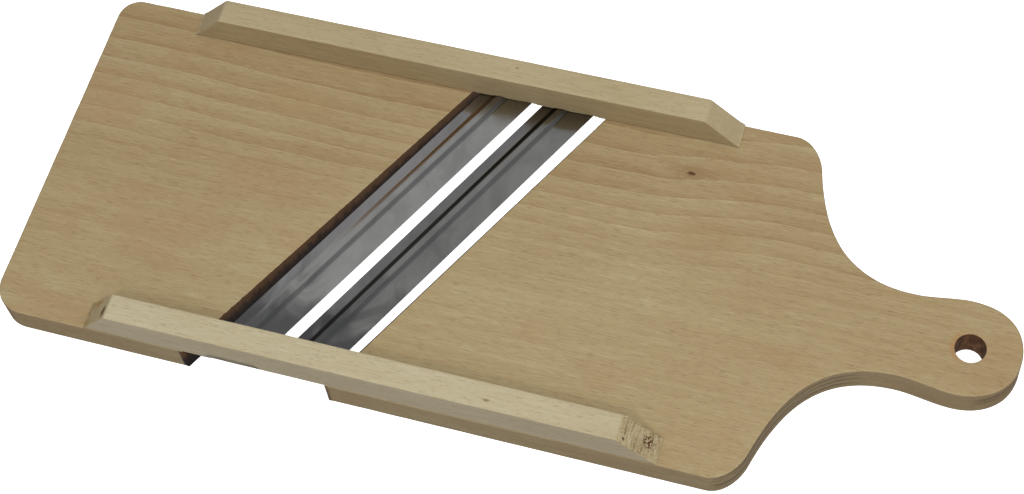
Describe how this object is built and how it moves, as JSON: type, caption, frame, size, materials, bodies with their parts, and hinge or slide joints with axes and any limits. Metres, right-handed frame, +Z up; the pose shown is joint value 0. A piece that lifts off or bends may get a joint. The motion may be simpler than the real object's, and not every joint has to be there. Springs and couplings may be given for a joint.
{
  "type": "mandoline slicer",
  "caption": "Wooden cabbage slicer: a paddle-handled board with a slanting throat, ribbed steel blades across it, guide rails along both edges and a hanging hole.",
  "frame": {"origin": "centre of the bounding box's bottom face, on the surface that the board lies on", "axes": "+X along the board towards the handle, +Y across it towards the far rail, +Z up out of the slicing face"},
  "size_m": [0.4294, 0.165, 0.0308],
  "materials": {
    "beech_board": "planed and lightly oiled beech",
    "beech_rail": "planed bare beech",
    "blade_steel": "rolled and polished stainless strip",
    "screw_steel": "zinc plated",
    "nail_steel": "bright steel"
  },
  "bodies": {
    "root": {"end_board": "beech_board", "handle_board": "beech_board", "near_rail": "beech_rail", "far_rail": "beech_rail", "rear_blade": "blade_steel", "front_blade": "blade_steel", "near_rail_screw_1": "screw_steel", "near_rail_screw_2": "screw_steel", "near_rail_screw_3": "screw_steel", "near_rail_screw_4": "screw_steel", "near_rail_screw_5": "screw_steel", "far_rail_screw_1": "screw_steel", "far_rail_screw_2": "screw_steel", "far_rail_screw_3": "screw_steel", "far_rail_screw_4": "screw_steel", "far_rail_screw_5": "screw_steel", "rear_blade_nail_1": "nail_steel", "rear_blade_nail_2": "nail_steel", "rear_blade_nail_3": "nail_steel", "rear_blade_nail_4": "nail_steel", "front_blade_nail_1": "nail_steel", "front_blade_nail_2": "nail_steel", "front_blade_nail_3": "nail_steel", "front_blade_nail_4": "nail_steel"}
  },
  "joints": []
}
